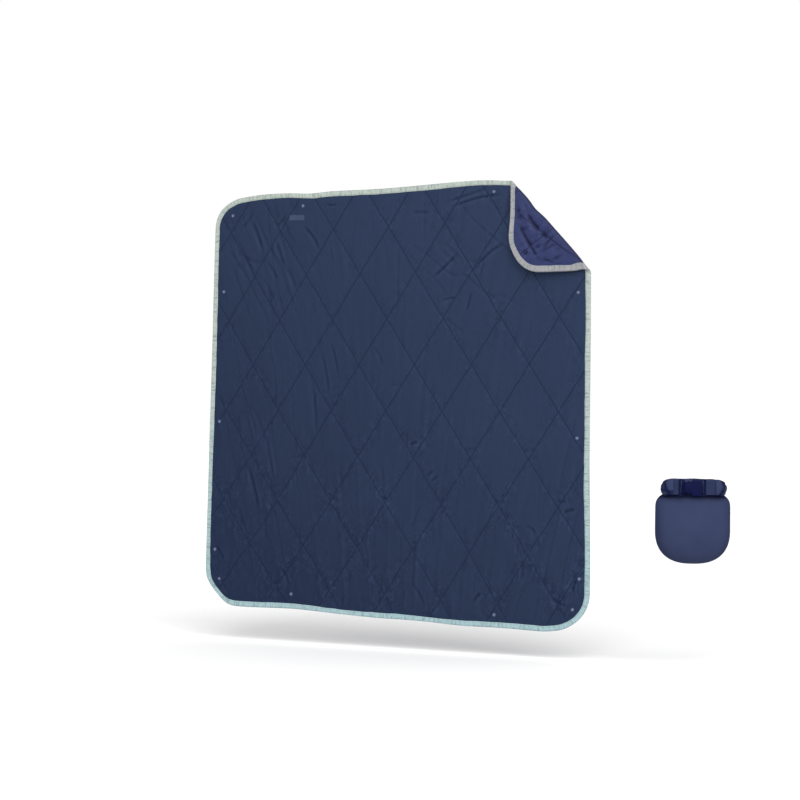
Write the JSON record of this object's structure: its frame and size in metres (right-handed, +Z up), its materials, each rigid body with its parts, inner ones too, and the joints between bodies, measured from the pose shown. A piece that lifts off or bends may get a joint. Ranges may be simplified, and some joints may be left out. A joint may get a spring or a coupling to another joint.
{
  "type": "camp blanket",
  "caption": "Square quilted camp blanket with round bound corners, edge snaps and one corner folded over, with its packed roll-top stuff sack.",
  "frame": {"origin": "middle of the top hem, at mid-thickness", "axes": "+Z up the blanket, +X to the right seen from its face, -Y out of its face"},
  "size_m": [1.9142, 0.1654, 1.45],
  "materials": {
    "face_cloth": "satin",
    "reverse_cloth": "satin",
    "batting": "matte",
    "binding_tape": "matte",
    "label_weave": "matte",
    "snap_plastic": "gloss",
    "sack_cloth": "satin",
    "webbing": "matte",
    "buckle_plastic": "satin"
  },
  "bodies": {
    "blanket": {"face_fabric": "face_cloth", "fill_batting": "batting", "back_fabric": "reverse_cloth", "edge_binding": "binding_tape", "label_patch": "label_weave", "snap_cap_corner_top_left": "snap_plastic", "snap_cap_corner_bottom_left": "snap_plastic", "snap_cap_corner_bottom_right": "snap_plastic", "snap_cap_top_left": "snap_plastic", "snap_cap_top_right": "snap_plastic", "snap_cap_left_upper": "snap_plastic", "snap_cap_left_middle": "snap_plastic", "snap_cap_left_lower": "snap_plastic", "snap_cap_bottom_left": "snap_plastic", "snap_cap_bottom_right": "snap_plastic", "snap_cap_right_upper": "snap_plastic", "snap_cap_right_middle": "snap_plastic", "snap_cap_right_lower": "snap_plastic", "snap_socket_corner_top_left": "snap_plastic", "snap_socket_corner_bottom_left": "snap_plastic", "snap_socket_corner_bottom_right": "snap_plastic", "snap_socket_top_left": "snap_plastic", "snap_socket_top_right": "snap_plastic", "snap_socket_left_upper": "snap_plastic", "snap_socket_left_middle": "snap_plastic", "snap_socket_left_lower": "snap_plastic", "snap_socket_bottom_left": "snap_plastic", "snap_socket_bottom_right": "snap_plastic", "snap_socket_right_upper": "snap_plastic", "snap_socket_right_middle": "snap_plastic", "snap_socket_right_lower": "snap_plastic"},
    "corner_flap": {"flap_face_fabric": "face_cloth", "flap_fill_batting": "batting", "flap_back_fabric": "reverse_cloth", "flap_binding": "binding_tape", "fold_bend": "reverse_cloth", "snap_cap_flap_corner": "snap_plastic", "snap_socket_flap_corner": "snap_plastic"},
    "stuff_sack": {"sack_body": "sack_cloth", "sack_roll": "sack_cloth", "roll_end_left": "sack_cloth", "webbing_right": "webbing", "buckle_socket": "buckle_plastic"},
    "buckle_plug": {"buckle_plug": "buckle_plastic", "webbing_left": "webbing"},
    "arm_upper": {"buckle_arm_upper": "buckle_plastic"},
    "arm_lower": {"buckle_arm_lower": "buckle_plastic"}
  },
  "joints": [
    {"name": "corner_fold", "type": "hinge", "parent": "blanket", "child": "corner_flap", "pos_m": [0.58139, -0.008, -0.14361], "axis": [-0.7071, 0, 0.7071], "range_deg": [0, 180], "deforming": ["fold_bend"]},
    {"name": "sack_lift", "type": "slide", "parent": "blanket", "child": "stuff_sack", "axis": [0, 0, 1], "range_m": [0, 0.12]},
    {"name": "plug_release", "type": "slide", "parent": "stuff_sack", "child": "buckle_plug", "axis": [-0.8829, -0.4695, 0], "range_m": [0, 0.036], "deforming": ["webbing_left", "roll_end_left"]},
    {"name": "arm_upper_flex", "type": "hinge", "parent": "buckle_plug", "child": "arm_upper", "pos_m": [1.07158, -0.05258, -0.974], "axis": [-0.4695, 0.8829, 0], "range_deg": [0, 6], "stiffness_Nm_per_rad": 2},
    {"name": "arm_lower_flex", "type": "hinge", "parent": "buckle_plug", "child": "arm_lower", "pos_m": [1.07158, -0.05258, -0.996], "axis": [-0.4695, 0.8829, 0], "range_deg": [-6, 0], "stiffness_Nm_per_rad": 2}
  ],
  "couplings": [
    {"joint": "arm_lower_flex", "follows": "arm_upper_flex", "ratio": -1}
  ]
}
